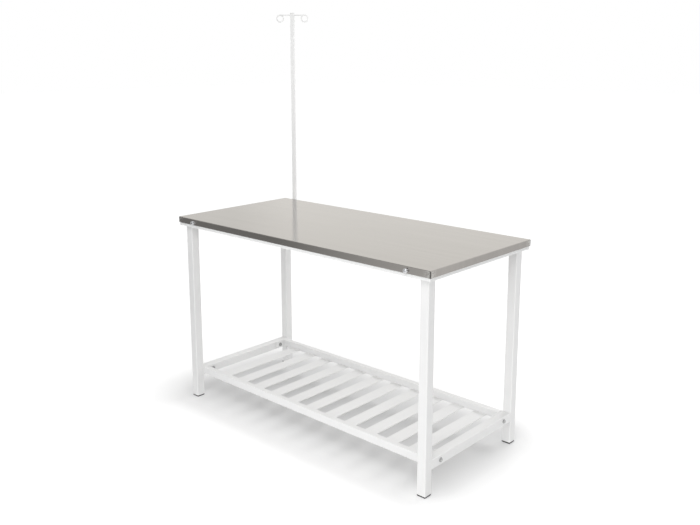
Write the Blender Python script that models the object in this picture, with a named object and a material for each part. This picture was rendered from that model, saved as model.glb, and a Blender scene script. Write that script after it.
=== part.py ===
"""Veterinary surgery table with a stainless worktop, a slatted shelf and an infusion pole.

Metres, +Z up. The origin is on the floor under the middle of the worktop, -Y is the front
and +X is the right. The pole stands behind the rear left leg.
"""
import math

import bmesh
import bpy
from mathutils import Matrix, Vector

# Worktop: one sheet, its four edges folded down as a skirt
TOP_LENGTH = 1.400
TOP_WIDTH = 0.650
TOP_HEIGHT = 0.850
SHEET = 0.0015
SKIRT_DROP = 0.026
SHEET_BEND = 0.003

# Top frame: rectangular tube on edge, tucked inside the skirt
RAIL_THICKNESS = 0.019
RAIL_DEPTH = 0.038
RAIL_WALL = 0.0015
SKIRT_CLEARANCE = 0.0015
CROSS_SPREAD = 0.460

# Legs: square tube in the corners of the frame, each with a plastic plug
LEG_SIZE = 0.038
LEG_WALL = 0.0015
TUBE_CORNER = 0.003
FOOT_FLANGE = 0.005
FOOT_PLUG = 0.020

# Shelf: end rails between the legs, long rails between the end rails, slats between those
SHELF_TOP = 0.136
END_RAIL_WIDTH = 0.038
END_RAIL_DEPTH = 0.038
LONG_RAIL_WIDTH = 0.025
LONG_RAIL_DEPTH = 0.032
SHELF_WALL = 0.0015
SLAT_COUNT = 11
SLAT_WIDTH = 0.060
SLAT_THICKNESS = 0.003
SLAT_DROP = 0.028
SLAT_END_SPACE = 0.060
BAR_CORNER = 0.0006

# Shelf fixings: a bolt through each end of the end rails into a lug of the shelf
LUG_LENGTH = 0.052
LUG_THICKNESS = 0.004
BOLT_DIAMETER = 0.008
BOLT_DROP = 0.018
BOLT_TAIL = 0.004
HEAD_ACROSS_FLATS = 0.013
HEAD_HEIGHT = 0.0053
NUT_HEIGHT = 0.0065
FLANGE_DIAMETER = 0.017
FLANGE_THICKNESS = 0.0015

# Domed studs that hold the skirt to the frame and take a tie-down cord
STUD_INSET = 0.104
STUD_DROP = 0.016
STUD_FLANGE_DIAMETER = 0.016
STUD_FLANGE = 0.002
STUD_NECK_DIAMETER = 0.009
STUD_NECK = 0.004
STUD_HEAD_DIAMETER = 0.017
STUD_RIM = 0.002
STUD_DOME = 0.005
STUD_SHANK_DIAMETER = 0.006
STUD_SHANK_TAIL = 0.006

# Infusion pole and its hook
POLE_DIAMETER = 0.022
POLE_WALL = 0.0015
POLE_TOP = 1.754
POLE_BEHIND = 0.0255
POLE_TURN = math.radians(42)
HOOK_ROD = 0.006
HOOK_DROP = 0.008
HOOK_SPREAD = 0.119
HOOK_LOOP_RADIUS = 0.016
HOOK_LOOP_SWEEP = math.radians(345)
HOOK_LOOP_OFFSET = 0.011
CAP_FLANGE = 0.002
CAP_STEM = 0.004
PLUG_FLANGE = 0.002
PLUG_STEM = 0.015

# Pole holder on the rear left leg
SOCKET_BELOW_TOP = 0.050
SOCKET_LENGTH = 0.200
SOCKET_WALL = 0.002
SOCKET_FLOOR = 0.003
DRAIN_DIAMETER = 0.008
BUSH_WALL = 0.0025
BUSH_COLLAR = 0.003
BUSH_COLLAR_DIAMETER = 0.034
BUSH_SLIT = 0.002
BRACKET_WIDTH = 0.030
BRACKET_THICKNESS = 0.005
BRACKET_INSET = 0.015

# Clamp screw that squeezes the bush on the pole
CLAMP_DROP = 0.055
SCREW_DIAMETER = 0.008
BOSS_DIAMETER = 0.018
BOSS_LENGTH = 0.012
PAD_DIAMETER = 0.007
PAD_LENGTH = 0.004
KNOB_DIAMETER = 0.034
KNOB_LENGTH = 0.014
KNOB_LOBES = 6
KNOB_SCALLOP = 0.002
KNOB_CLEARANCE = 0.003
KNOB_SOCKET = 0.009
KNOB_CHAMFER = 0.0015

# Fits
GAP = 0.0003
HOLE_CLEARANCE = 0.0003
CUT_MARGIN = 0.002

# Facets
CORNER_STEPS = 2
ROUND = 18
POLE_ROUND = 24
KNOB_ROUND = 48
DOME_STEPS = 3
LOOP_STEPS = 24

# Finishes: colour, roughness, metallic
FINISHES = {
    "stainless": ((0.56, 0.55, 0.53), 0.30, 1.0),
    "white_coat": ((0.86, 0.86, 0.85), 0.42, 0.0),
    "chrome": ((0.80, 0.80, 0.80), 0.08, 1.0),
    "zinc": ((0.55, 0.56, 0.57), 0.35, 1.0),
    "black_plastic": ((0.03, 0.03, 0.032), 0.50, 0.0),
    "white_plastic": ((0.80, 0.80, 0.78), 0.45, 0.0),
    "nylon": ((0.75, 0.74, 0.70), 0.55, 0.0),
}

# Places worked out from the sizes above
SHEET_UNDERSIDE = TOP_HEIGHT - SHEET
FRAME_TOP = SHEET_UNDERSIDE - GAP
FRAME_OUT_X = TOP_LENGTH / 2 - SHEET - SKIRT_CLEARANCE
FRAME_OUT_Y = TOP_WIDTH / 2 - SHEET - SKIRT_CLEARANCE
LEG_OUT_X = FRAME_OUT_X - RAIL_THICKNESS - GAP
LEG_OUT_Y = FRAME_OUT_Y - RAIL_THICKNESS - GAP
LEG_X = LEG_OUT_X - LEG_SIZE / 2
LEG_Y = LEG_OUT_Y - LEG_SIZE / 2
LEG_IN_Y = LEG_OUT_Y - LEG_SIZE
END_IN_X = LEG_OUT_X - END_RAIL_WIDTH
LONG_OUT_Y = LEG_IN_Y - GAP
LONG_IN_Y = LONG_OUT_Y - LONG_RAIL_WIDTH
LUG_X = END_IN_X - GAP - LUG_THICKNESS / 2
LUG_Y = LONG_IN_Y - GAP - LUG_LENGTH / 2
BOLT_Z = SHELF_TOP - BOLT_DROP
STUD_X = TOP_LENGTH / 2 - STUD_INSET
STUD_Z = TOP_HEIGHT - STUD_DROP
POLE_X = -LEG_X
POLE_Y = TOP_WIDTH / 2 + POLE_BEHIND
BUSH_BORE = POLE_DIAMETER / 2 + GAP
BUSH_RADIUS = BUSH_BORE + BUSH_WALL
SOCKET_BORE = BUSH_RADIUS + GAP
SOCKET_RADIUS = SOCKET_BORE + SOCKET_WALL
SOCKET_TOP = TOP_HEIGHT - SOCKET_BELOW_TOP
SOCKET_BOTTOM = SOCKET_TOP - SOCKET_LENGTH
POLE_BOTTOM = SOCKET_BOTTOM + PLUG_FLANGE + GAP
CLAMP_Z = SOCKET_TOP - CLAMP_DROP

# Turns that lay a piece made along Z along another axis
ALONG_X = (0, math.radians(90), 0)
ALONG_Y = (math.radians(-90), 0, 0)
SIDES_X = ((-1, "left"), (1, "right"))
SIDES_Y = ((-1, "front"), (1, "rear"))


def circle(radius, height, count=ROUND):
    """Ring of points on a circle."""
    angles = [2 * math.pi * i / count for i in range(count)]
    return [Vector((radius * math.cos(a), radius * math.sin(a), height)) for a in angles]


def hexagon(across_flats, height, count=ROUND):
    """Ring of points on a hexagon, as many as on a circle so that the two can be joined."""
    ring = []
    for i in range(count):
        angle = 2 * math.pi * i / count
        from_flat = (angle % math.radians(60)) - math.radians(30)
        radius = across_flats / 2 / math.cos(from_flat)
        ring.append(Vector((radius * math.cos(angle), radius * math.sin(angle), height)))
    return ring


def lobed(radius, height, count=KNOB_ROUND):
    """Ring of points on the knob's scalloped outline."""
    ring = []
    for i in range(count):
        angle = 2 * math.pi * i / count
        reach = radius - KNOB_SCALLOP * (1 - math.cos(KNOB_LOBES * angle)) / 2
        ring.append(Vector((reach * math.cos(angle), reach * math.sin(angle), height)))
    return ring


def rectangle(width, depth, corner, height):
    """Ring of points on a rectangle with round corners."""
    ring = []
    for quarter, (sx, sy) in enumerate(((1, 1), (-1, 1), (-1, -1), (1, -1))):
        centre = Vector((sx * (width / 2 - corner), sy * (depth / 2 - corner), height))
        for step in range(CORNER_STEPS + 1):
            angle = math.pi / 2 * (quarter + step / CORNER_STEPS)
            ring.append(centre + corner * Vector((math.cos(angle), math.sin(angle), 0)))
    return ring


def loft(name, rings, hollow=False):
    """Mesh through rings of equal count: capped at both ends, or closed on itself if hollow."""
    bm = bmesh.new()
    loops = [[bm.verts.new(point) for point in ring] for ring in rings]
    pairs = list(zip(loops, loops[1:]))
    if hollow:
        pairs.append((loops[-1], loops[0]))
    else:
        bm.faces.new(loops[0])
        bm.faces.new(loops[-1])
    count = len(loops[0])
    for low, high in pairs:
        for i in range(count):
            after = (i + 1) % count
            bm.faces.new((low[i], low[after], high[after], high[i]))
    return finished_mesh(name, bm)


def finished_mesh(name, bm):
    """Turn a bmesh into a mesh with outward faces and smooth round surfaces."""
    bmesh.ops.recalc_face_normals(bm, faces=bm.faces)
    mesh = bpy.data.meshes.new(name)
    bm.to_mesh(mesh)
    bm.free()
    mesh.shade_smooth()
    mesh.set_sharp_from_angle(angle=math.radians(35))
    return mesh


def bar(name, width, depth, corner, length):
    """Solid bar along Z, centred on the origin."""
    ends = (-length / 2, length / 2)
    return loft(name, [rectangle(width, depth, corner, z) for z in ends])


def tube(name, width, depth, wall, length):
    """Open-ended square or rectangular tube along Z, centred on the origin."""
    inner_corner = max(TUBE_CORNER - wall, BAR_CORNER)
    inner_width = width - 2 * wall
    inner_depth = depth - 2 * wall
    low, high = -length / 2, length / 2
    rings = [
        rectangle(width, depth, TUBE_CORNER, low),
        rectangle(width, depth, TUBE_CORNER, high),
        rectangle(inner_width, inner_depth, inner_corner, high),
        rectangle(inner_width, inner_depth, inner_corner, low),
    ]
    return loft(name, rings, hollow=True)


def sleeve(name, radius, bore, low, high, count=ROUND):
    """Round tube or washer along Z."""
    rings = [circle(radius, low, count), circle(radius, high, count)]
    rings += [circle(bore, high, count), circle(bore, low, count)]
    return loft(name, rings, hollow=True)


def rod(name, radius, low, high, count=ROUND):
    """Solid round rod along Z."""
    return loft(name, [circle(radius, low, count), circle(radius, high, count)])


def group(name, mesh, places):
    """One mesh of separate solids, a copy of the given mesh at each location and turn."""
    bm = bmesh.new()
    for location, turn in places:
        copy = mesh.copy()
        copy.transform(Matrix.LocRotScale(location, turn, None))
        bm.from_mesh(copy)
        bpy.data.meshes.remove(copy)
    return finished_mesh(name, bm)


def material(name, finish):
    """Principled material of one piece, with the values of its finish."""
    colour, roughness, metallic = FINISHES[finish]
    made = bpy.data.materials.new(name + "_" + finish)
    made.use_nodes = True
    shader = made.node_tree.nodes["Principled BSDF"]
    shader.inputs["Base Color"].default_value = (*colour, 1.0)
    shader.inputs["Roughness"].default_value = roughness
    shader.inputs["Metallic"].default_value = metallic
    return made


def add(name, data, finish, location=(0, 0, 0), rotation=(0, 0, 0), parent=None):
    """Put a piece in the scene under its own name and material."""
    piece = bpy.data.objects.new(name, data)
    bpy.context.scene.collection.objects.link(piece)
    piece.location = location
    piece.rotation_euler = rotation
    piece.parent = parent
    data.materials.clear()
    data.materials.append(material(name, finish))
    return piece


def axis_empty(name, location, rotation=(0, 0, 0)):
    """Empty on a joint's axis that carries the pieces turning or sliding on it."""
    empty = bpy.data.objects.new(name, None)
    bpy.context.scene.collection.objects.link(empty)
    empty.location = location
    empty.rotation_euler = rotation
    return empty


def cutter(name, mesh, location=(0, 0, 0), rotation=(0, 0, 0), parent=None):
    """Hidden solid that only cuts others."""
    tool = bpy.data.objects.new(name, mesh)
    bpy.context.scene.collection.objects.link(tool)
    tool.location = location
    tool.rotation_euler = rotation
    tool.parent = parent
    tool.hide_render = True
    tool.display_type = "WIRE"
    return tool


def cut(piece, tool):
    """Subtract a cutter from a piece."""
    boolean = piece.modifiers.new("cut_" + tool.name, "BOOLEAN")
    boolean.operation = "DIFFERENCE"
    boolean.solver = "EXACT"
    boolean.object = tool


def outward_turn(direction):
    """Rotation that takes local +Z to a direction."""
    return Vector((0, 0, 1)).rotation_difference(Vector(direction)).to_euler()


def corner_places():
    """The four corners as signs and a name, front left first."""
    return [(sx, sy, depth + "_" + side) for sy, depth in SIDES_Y for sx, side in SIDES_X]


def make_worktop():
    """Sheet pan: bent top edges, solid sheet thickness, open below."""
    bm = bmesh.new()
    bmesh.ops.create_cube(bm, size=1.0)
    size = Vector((TOP_LENGTH, TOP_WIDTH, SKIRT_DROP))
    bmesh.ops.scale(bm, vec=size, verts=bm.verts)
    bottom = [face for face in bm.faces if face.normal.z < -0.5]
    bmesh.ops.delete(bm, geom=bottom, context="FACES_ONLY")
    bends = [edge for edge in bm.edges if not edge.is_boundary]
    bmesh.ops.bevel(bm, geom=bends, offset=SHEET_BEND, segments=CORNER_STEPS, profile=0.5,
                    affect="EDGES")
    mesh = finished_mesh("worktop", bm)
    worktop = add("worktop", mesh, "stainless", (0, 0, TOP_HEIGHT - SKIRT_DROP / 2))
    shell = worktop.modifiers.new("sheet", "SOLIDIFY")
    shell.thickness = SHEET
    shell.offset = -1
    shell.use_even_offset = True
    return worktop


def make_top_frame():
    """Four rails inside the skirt and two cross members between the long ones."""
    middle_z = FRAME_TOP - RAIL_DEPTH / 2
    rails = []
    for sy, depth in SIDES_Y:
        mesh = tube("top_rail_" + depth, RAIL_DEPTH, RAIL_THICKNESS, RAIL_WALL, 2 * FRAME_OUT_X)
        place = (0, sy * (FRAME_OUT_Y - RAIL_THICKNESS / 2), middle_z)
        rails.append(add("top_rail_" + depth, mesh, "white_coat", place, ALONG_X))
    between = 2 * (FRAME_OUT_Y - RAIL_THICKNESS - GAP)
    for sx, side in SIDES_X:
        for part, x in (("top_rail_", FRAME_OUT_X - RAIL_THICKNESS / 2),
                        ("top_cross_", CROSS_SPREAD / 2)):
            mesh = tube(part + side, RAIL_THICKNESS, RAIL_DEPTH, RAIL_WALL, between)
            add(part + side, mesh, "white_coat", (sx * x, 0, middle_z), ALONG_Y)
    return rails


def make_legs():
    """Square legs up to the sheet, each standing on a plug with a flange."""
    low = FOOT_FLANGE + GAP
    length = FRAME_TOP - low
    plug_size = LEG_SIZE - 2 * (LEG_WALL + GAP)
    plug_corner = max(TUBE_CORNER - LEG_WALL, BAR_CORNER)
    for sx, sy, corner in corner_places():
        leg = tube("leg_" + corner, LEG_SIZE, LEG_SIZE, LEG_WALL, length)
        place = Vector((sx * LEG_X, sy * LEG_Y, 0))
        add("leg_" + corner, leg, "white_coat", place + Vector((0, 0, low + length / 2)))
        foot = loft("foot_" + corner, [
            rectangle(LEG_SIZE, LEG_SIZE, TUBE_CORNER, 0),
            rectangle(LEG_SIZE, LEG_SIZE, TUBE_CORNER, FOOT_FLANGE),
            rectangle(plug_size, plug_size, plug_corner, FOOT_FLANGE),
            rectangle(plug_size, plug_size, plug_corner, FOOT_FLANGE + FOOT_PLUG),
        ])
        add("foot_" + corner, foot, "black_plastic", place)


def make_shelf():
    """End rails between the legs, the slatted deck between the end rails, and its lugs."""
    drilled = []
    for sx, side in SIDES_X:
        mesh = tube("shelf_end_rail_" + side, END_RAIL_WIDTH, END_RAIL_DEPTH, SHELF_WALL,
                    2 * (LEG_IN_Y - GAP))
        place = (sx * (LEG_OUT_X - END_RAIL_WIDTH / 2), 0, SHELF_TOP - END_RAIL_DEPTH / 2)
        drilled.append(add("shelf_end_rail_" + side, mesh, "white_coat", place, ALONG_Y))
    long_rail_z = SHELF_TOP - LONG_RAIL_DEPTH / 2
    for sy, depth in SIDES_Y:
        mesh = tube("shelf_rail_" + depth, LONG_RAIL_DEPTH, LONG_RAIL_WIDTH, SHELF_WALL,
                    2 * (END_IN_X - GAP))
        place = (0, sy * (LONG_OUT_Y - LONG_RAIL_WIDTH / 2), long_rail_z)
        add("shelf_rail_" + depth, mesh, "white_coat", place, ALONG_X)
    first = -(END_IN_X - SLAT_END_SPACE - SLAT_WIDTH / 2)
    slat_z = SHELF_TOP - SLAT_DROP - SLAT_THICKNESS / 2
    for i in range(SLAT_COUNT):
        name = "shelf_slat_%02d" % (i + 1)
        x = first - 2 * first * i / (SLAT_COUNT - 1)
        mesh = bar(name, SLAT_WIDTH, SLAT_THICKNESS, BAR_CORNER, 2 * (LONG_IN_Y - GAP))
        add(name, mesh, "white_coat", (x, 0, slat_z), ALONG_Y)
    for sx, sy, corner in corner_places():
        mesh = bar("shelf_lug_" + corner, LUG_THICKNESS, LONG_RAIL_DEPTH, BAR_CORNER, LUG_LENGTH)
        place = (sx * LUG_X, sy * LUG_Y, long_rail_z)
        drilled.append(add("shelf_lug_" + corner, mesh, "white_coat", place, ALONG_Y))
    return drilled


def make_shelf_fixings(drilled):
    """Flanged hex bolts from outside, each with a flanged nut behind its lug."""
    head_seat = LEG_OUT_X + GAP
    nut_face = END_IN_X - LUG_THICKNESS - 2 * GAP
    tip = nut_face - NUT_HEIGHT - BOLT_TAIL
    radius = BOLT_DIAMETER / 2
    hole = radius + HOLE_CLEARANCE
    flange = FLANGE_DIAMETER / 2
    drill = rod("drill", hole, tip - CUT_MARGIN, head_seat + CUT_MARGIN)
    drills = []
    for sx, sy, corner in corner_places():
        seat = Vector((0, sy * LUG_Y, BOLT_Z))
        side = Vector((sx, 0, 0))
        turn = outward_turn(side)
        bolt = loft("shelf_bolt_" + corner, [
            circle(radius, tip - head_seat),
            circle(radius, 0),
            circle(flange, 0),
            circle(flange, FLANGE_THICKNESS),
            hexagon(HEAD_ACROSS_FLATS, FLANGE_THICKNESS),
            hexagon(HEAD_ACROSS_FLATS, HEAD_HEIGHT),
        ])
        add("shelf_bolt_" + corner, bolt, "zinc", seat + side * head_seat, turn)
        nut = loft("shelf_nut_" + corner, [
            hexagon(HEAD_ACROSS_FLATS, -NUT_HEIGHT),
            hexagon(HEAD_ACROSS_FLATS, -FLANGE_THICKNESS),
            circle(flange, -FLANGE_THICKNESS),
            circle(flange, 0),
            circle(hole, 0),
            circle(hole, -NUT_HEIGHT),
        ], hollow=True)
        add("shelf_nut_" + corner, nut, "zinc", seat + side * nut_face, turn)
        drills.append((seat, turn))
    tool = cutter("bolt_holes", group("bolt_holes", drill, drills))
    for piece in drilled:
        cut(piece, tool)


def make_studs(drilled):
    """Domed studs through the skirt into the front and rear rails."""
    neck_top = STUD_FLANGE + STUD_NECK
    rim_top = neck_top + STUD_RIM
    head = STUD_HEAD_DIAMETER / 2
    shank = STUD_SHANK_DIAMETER / 2
    reach = SHEET + SKIRT_CLEARANCE + RAIL_WALL + STUD_SHANK_TAIL
    rings = [
        circle(shank, -reach),
        circle(shank, 0),
        circle(STUD_FLANGE_DIAMETER / 2, 0),
        circle(STUD_FLANGE_DIAMETER / 2, STUD_FLANGE),
        circle(STUD_NECK_DIAMETER / 2, STUD_FLANGE),
        circle(STUD_NECK_DIAMETER / 2, neck_top),
        circle(head, neck_top),
    ]
    for step in range(DOME_STEPS):
        angle = math.pi / 2 * step / DOME_STEPS
        rings.append(circle(head * math.cos(angle), rim_top + STUD_DOME * math.sin(angle)))
    drill = rod("drill", shank + HOLE_CLEARANCE, -reach - CUT_MARGIN, CUT_MARGIN)
    drills = []
    for sx, sy, corner in corner_places():
        seat = (sx * STUD_X, sy * (TOP_WIDTH / 2 + GAP), STUD_Z)
        turn = outward_turn((0, sy, 0))
        add("tie_down_stud_" + corner, loft("tie_down_stud_" + corner, rings), "chrome", seat, turn)
        drills.append((seat, turn))
    tool = cutter("stud_holes", group("stud_holes", drill, drills))
    for piece in drilled:
        cut(piece, tool)


def make_pole_holder():
    """Socket tube on two brackets behind the rear left leg, its floor and the clamp boss."""
    upright = axis_empty("pole_holder_axis", (POLE_X, POLE_Y, 0))
    socket = add("pole_socket",
                 sleeve("pole_socket", SOCKET_RADIUS, SOCKET_BORE, SOCKET_BOTTOM, SOCKET_TOP,
                        POLE_ROUND),
                 "white_coat", parent=upright)
    floor_top = SOCKET_BOTTOM - GAP
    floor = sleeve("socket_floor", SOCKET_RADIUS, DRAIN_DIAMETER / 2, floor_top - SOCKET_FLOOR,
                   floor_top)
    add("socket_floor", floor, "white_coat", parent=upright)
    clear = cutter("socket_space",
                   rod("socket_space", SOCKET_RADIUS + GAP, SOCKET_BOTTOM, SOCKET_TOP, POLE_ROUND),
                   parent=upright)
    start = LEG_OUT_Y + GAP
    length = POLE_Y - start
    for level, z in (("upper", SOCKET_TOP - BRACKET_INSET), ("lower", SOCKET_BOTTOM + BRACKET_INSET)):
        mesh = bar("pole_bracket_" + level, BRACKET_WIDTH, BRACKET_THICKNESS, BAR_CORNER, length)
        place = (POLE_X, start + length / 2, z)
        bracket = add("pole_bracket_" + level, mesh, "white_coat", place, ALONG_Y)
        cut(bracket, clear)

    clamp = axis_empty("clamp_axis", (POLE_X, POLE_Y, CLAMP_Z), (0, math.radians(-90), 0))
    thread = SCREW_DIAMETER / 2
    boss_end = SOCKET_RADIUS + BOSS_LENGTH
    boss = add("clamp_boss",
               sleeve("clamp_boss", BOSS_DIAMETER / 2, thread + HOLE_CLEARANCE, SOCKET_BORE, boss_end),
               "white_coat", parent=clamp)
    cut(boss, clear)
    drill = cutter("clamp_hole", rod("clamp_hole", thread + HOLE_CLEARANCE, 0, boss_end),
                   parent=clamp)
    cut(socket, drill)
    make_clamp_screw(clamp, boss_end)


def make_clamp_screw(clamp, boss_end):
    """Pressure pad, screw and lobed hand knob, outward along the clamp's axis."""
    pad_end = BUSH_RADIUS + GAP + PAD_LENGTH
    add("clamp_pad", rod("clamp_pad", PAD_DIAMETER / 2, BUSH_RADIUS + GAP, pad_end), "nylon",
        parent=clamp)
    knob_low = boss_end + KNOB_CLEARANCE
    knob_high = knob_low + KNOB_LENGTH
    radius = KNOB_DIAMETER / 2
    screw = rod("clamp_screw", SCREW_DIAMETER / 2, pad_end + GAP, knob_low + KNOB_SOCKET - GAP)
    add("clamp_screw", screw, "zinc", parent=clamp)
    knob = add("clamp_knob", loft("clamp_knob", [
        lobed(radius - KNOB_CHAMFER, knob_low),
        lobed(radius, knob_low + KNOB_CHAMFER),
        lobed(radius, knob_high - KNOB_CHAMFER),
        lobed(radius - KNOB_CHAMFER, knob_high),
    ]), "black_plastic", parent=clamp)
    hole = rod("knob_hole", SCREW_DIAMETER / 2 + GAP, knob_low - CUT_MARGIN, knob_low + KNOB_SOCKET)
    cut(knob, cutter("knob_hole", hole, parent=clamp))


def make_bush():
    """Split liner with a collar on the socket's rim."""
    axis = axis_empty("bush_axis", (POLE_X, POLE_Y, 0))
    rim = SOCKET_TOP + GAP
    collar = BUSH_COLLAR_DIAMETER / 2
    mesh = loft("pole_bush", [
        circle(BUSH_RADIUS, SOCKET_BOTTOM, POLE_ROUND),
        circle(BUSH_RADIUS, rim, POLE_ROUND),
        circle(collar, rim, POLE_ROUND),
        circle(collar, rim + BUSH_COLLAR, POLE_ROUND),
        circle(BUSH_BORE, rim + BUSH_COLLAR, POLE_ROUND),
        circle(BUSH_BORE, SOCKET_BOTTOM, POLE_ROUND),
    ], hollow=True)
    bush = add("pole_bush", mesh, "nylon", parent=axis)
    height = SOCKET_LENGTH + BUSH_COLLAR + 2 * CUT_MARGIN
    slit = bar("bush_slit", BUSH_COLLAR_DIAMETER, BUSH_SLIT, BAR_CORNER, height)
    place = (BUSH_COLLAR_DIAMETER / 2, 0, SOCKET_BOTTOM - CUT_MARGIN + height / 2)
    cut(bush, cutter("bush_slit", slit, place, parent=axis))


def hook_points():
    """Centre line of the hook rod: a pigtail, the straight through the pole, a pigtail."""
    half = []
    for i in range(LOOP_STEPS + 1):
        angle = HOOK_LOOP_SWEEP * i / LOOP_STEPS
        half.append(Vector((
            HOOK_SPREAD / 2 + HOOK_LOOP_RADIUS * math.sin(angle),
            -HOOK_LOOP_OFFSET * i / LOOP_STEPS,
            HOOK_LOOP_RADIUS * (math.cos(angle) - 1),
        )))
    other = [Vector((-point.x, -point.y, point.z)) for point in half]
    return list(reversed(other)) + half


def make_pole():
    """Pole tube with its two end pieces and the hook rod through its top."""
    axis = axis_empty("pole_axis", (POLE_X, POLE_Y, 0), (0, 0, POLE_TURN))
    radius = POLE_DIAMETER / 2
    bore = radius - POLE_WALL
    stem = bore - GAP
    pole = add("pole_tube", sleeve("pole_tube", radius, bore, POLE_BOTTOM + GAP, POLE_TOP, POLE_ROUND),
               "white_coat", parent=axis)
    rod_z = POLE_TOP - HOOK_DROP
    hole = rod("hook_hole", HOOK_ROD / 2 + HOLE_CLEARANCE, -POLE_DIAMETER, POLE_DIAMETER)
    cut(pole, cutter("hook_hole", hole, (0, 0, rod_z), ALONG_X, axis))

    curve = bpy.data.curves.new("pole_hook", "CURVE")
    curve.dimensions = "3D"
    curve.bevel_depth = HOOK_ROD / 2
    curve.bevel_resolution = 2
    curve.use_fill_caps = True
    points = hook_points()
    spline = curve.splines.new("POLY")
    spline.points.add(len(points) - 1)
    for place, point in zip(spline.points, points):
        place.co = (*point, 1.0)
    add("pole_hook", curve, "white_coat", (0, 0, rod_z), parent=axis)

    cap_low = POLE_TOP + GAP
    cap = loft("pole_top_cap", [
        circle(stem, cap_low - CAP_STEM),
        circle(stem, cap_low),
        circle(radius, cap_low),
        circle(radius, cap_low + CAP_FLANGE / 2),
        circle(stem, cap_low + CAP_FLANGE),
    ])
    add("pole_top_cap", cap, "white_plastic", parent=axis)
    plug = loft("pole_bottom_plug", [
        circle(radius, POLE_BOTTOM - PLUG_FLANGE),
        circle(radius, POLE_BOTTOM),
        circle(stem, POLE_BOTTOM),
        circle(stem, POLE_BOTTOM + PLUG_STEM),
    ])
    add("pole_bottom_plug", plug, "black_plastic", parent=axis)


def main():
    for item in list(bpy.data.objects):
        bpy.data.objects.remove(item, do_unlink=True)
    worktop = make_worktop()
    rails = make_top_frame()
    make_legs()
    drilled = make_shelf()
    make_shelf_fixings(drilled)
    make_studs([worktop] + rails)
    make_pole_holder()
    make_bush()
    make_pole()


main()
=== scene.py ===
from math import copysign, cos, pi, radians, sin, sqrt

import bmesh
import bpy
from mathutils import Matrix, Vector


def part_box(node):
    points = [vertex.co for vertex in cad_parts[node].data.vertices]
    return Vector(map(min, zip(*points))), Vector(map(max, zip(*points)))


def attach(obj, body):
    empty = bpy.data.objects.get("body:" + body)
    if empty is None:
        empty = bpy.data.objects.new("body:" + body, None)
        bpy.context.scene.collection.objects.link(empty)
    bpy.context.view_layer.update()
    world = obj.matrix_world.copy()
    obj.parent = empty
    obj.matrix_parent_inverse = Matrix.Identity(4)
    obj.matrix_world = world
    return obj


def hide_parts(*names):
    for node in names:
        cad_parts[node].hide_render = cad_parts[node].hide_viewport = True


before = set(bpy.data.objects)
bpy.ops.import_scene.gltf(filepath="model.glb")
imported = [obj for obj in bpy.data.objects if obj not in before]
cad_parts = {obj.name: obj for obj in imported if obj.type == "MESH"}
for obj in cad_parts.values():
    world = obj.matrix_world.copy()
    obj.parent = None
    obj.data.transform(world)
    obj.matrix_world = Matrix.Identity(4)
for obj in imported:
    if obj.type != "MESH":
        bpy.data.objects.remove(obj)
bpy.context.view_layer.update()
scene = bpy.context.scene
scene.view_settings.view_transform = "Standard"


# Camera
# It stands off the front right corner, a little below the height of the hook, looks slightly
# down, and takes a small part of the photograph's low framing as lens shift.
def in_scene(name, data):
    """An object in the scene for a mesh, a lamp or a camera."""
    thing = bpy.data.objects.new(name, data)
    scene.collection.objects.link(thing)
    return thing


lens = bpy.data.cameras.new("camera")
lens.sensor_width, lens.lens, lens.shift_y = 36, 42.03, -0.07
camera = in_scene("camera", lens)
tilt, heading = 78.932, 42.392
camera.location = (2.2816, -2.4571, 1.5635)
camera.rotation_euler = (radians(tilt), 0, radians(heading))
scene.camera = camera


# Studio
# A pale floor in a white room. The room is white to the eye and in reflections. Its soft light on
# the object comes more from the front, the left and low down; one large lamp stands in front and
# one behind.
def feed(tree, node, inputs):
    """Sets a node's inputs to values, or links them to sockets."""
    for name, value in inputs.items():
        if isinstance(value, bpy.types.NodeSocket):
            tree.links.new(value, node.inputs[name])
        else:
            node.inputs[name].default_value = value


def add_node(tree, kind, inputs=None, **settings):
    """A new node with its settings and inputs."""
    node = tree.nodes.new(kind)
    for name, value in settings.items():
        setattr(node, name, value)
    feed(tree, node, inputs or {})
    return node


def made_by(tree, kind, inputs=None, **settings):
    """The first output of a new node."""
    return add_node(tree, kind, inputs, **settings).outputs[0]


def value_of(tree, operation, *values, **settings):
    """What a math node makes of values or sockets."""
    return made_by(tree, "ShaderNodeMath", dict(enumerate(values)), operation=operation, **settings)


def vector_of(tree, operation, *values):
    """What a vector math node makes of vectors: a vector, or a number where it gives one."""
    node = add_node(tree, "ShaderNodeVectorMath", dict(enumerate(values)), operation=operation)
    return node.outputs["Value" if operation in ("DOT_PRODUCT", "LENGTH") else "Vector"]


def span(tree, value, low, high, start=0.0, end=1.0):
    """A value stretched from one range to another."""
    return made_by(tree, "ShaderNodeMapRange", {
        "Value": value, "From Min": start, "From Max": end, "To Min": low, "To Max": high})


def bare_tree(owner):
    """The emptied node tree of a material or a world."""
    owner.use_nodes = True
    owner.node_tree.nodes.clear()
    return owner.node_tree


def seen_directly(tree):
    """1 for rays from the eye and for those that a shiny or clear surface sends on."""
    path = add_node(tree, "ShaderNodeLightPath").outputs
    first = value_of(tree, "MAXIMUM", path["Is Camera Ray"], path["Is Glossy Ray"])
    return value_of(tree, "MAXIMUM", first, path["Is Transmission Ray"])


room_light, room_lean = 1.05, (-0.13, -0.43, -0.50)
room = bpy.data.worlds.new("white_room")
scene.world = room
tree = bare_tree(room)
toward = add_node(tree, "ShaderNodeTexCoord").outputs["Generated"]
level = value_of(tree, "ADD", vector_of(tree, "DOT_PRODUCT", toward, room_lean), room_light)
background = made_by(tree, "ShaderNodeBackground", {
    "Color": (1, 1, 1, 1), "Strength": span(tree, seen_directly(tree), level, 1.0)})
add_node(tree, "ShaderNodeOutputWorld", {"Surface": background})

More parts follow.
